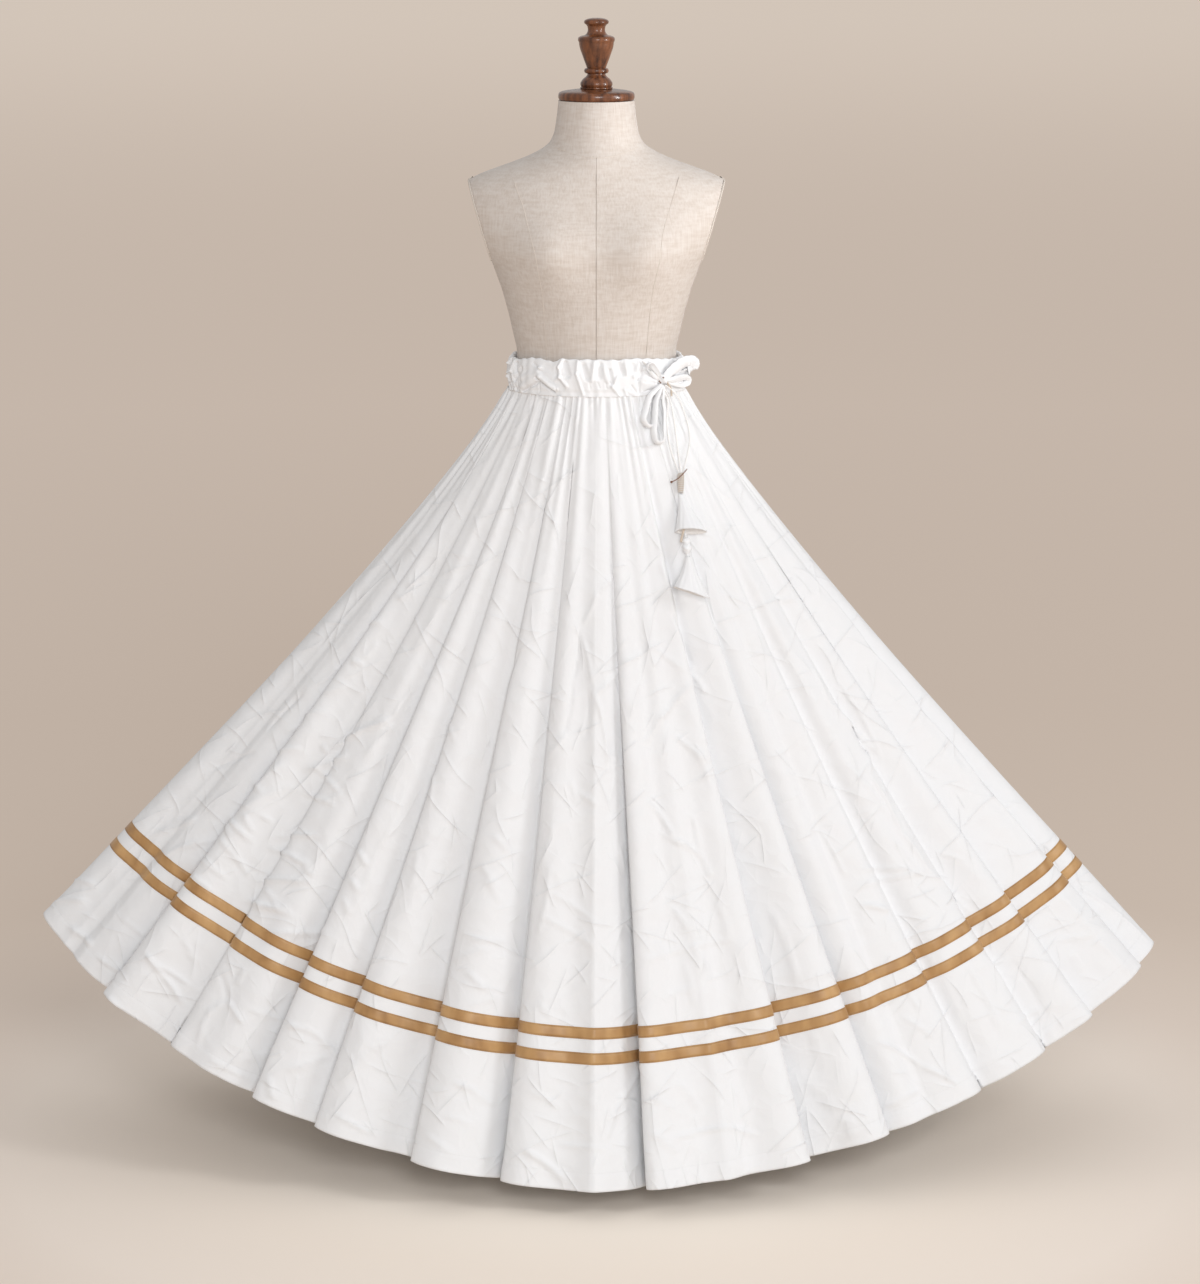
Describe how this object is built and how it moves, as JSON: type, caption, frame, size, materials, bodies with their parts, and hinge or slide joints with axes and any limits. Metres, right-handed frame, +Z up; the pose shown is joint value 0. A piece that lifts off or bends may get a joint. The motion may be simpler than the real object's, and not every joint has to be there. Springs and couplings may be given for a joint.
{
  "type": "maxi skirt on dress form",
  "caption": "Long gathered cotton skirt fanned out wide, with gold ribbons above its hem and a tasselled drawstring, on a limbless dress form.",
  "frame": {"origin": "centre of the stand's round underside, on the floor", "axes": "+Z up along the stand, +X to the viewer's right where the bow hangs, -Y out of the skirt's front"},
  "size_m": [1.5937, 0.7669, 1.5898],
  "materials": {
    "cotton": "crisp plain-woven white cotton, creased",
    "satin": "gold satin ribbon with a soft sheen",
    "linen": "ivory linen with slubs, matt",
    "wood": "dark turned walnut, glossy lacquer",
    "steel": "satin tube",
    "thread": "tan twisted thread"
  },
  "bodies": {
    "root": {"form_torso": "linen", "form_neck_cap": "wood", "form_finial": "wood", "form_base": "wood", "form_pole": "steel", "skirt_front_left": "cotton", "skirt_front_right": "cotton", "skirt_back_left": "cotton", "skirt_back_right": "cotton", "waistband": "cotton", "bow_knot": "cotton", "bow_loop_hanging_left": "cotton", "bow_loop_hanging_right": "cotton", "bow_loop_upper_right": "cotton", "bow_loop_lower_right": "cotton", "drawstring_left": "cotton", "drawstring_middle": "cotton", "drawstring_right": "cotton", "tassel_bell_upper": "cotton", "tassel_bell_lower": "cotton", "tassel_link": "cotton", "ribbon_upper": "satin", "ribbon_lower": "satin", "tassel_wrap": "thread"}
  },
  "joints": []
}
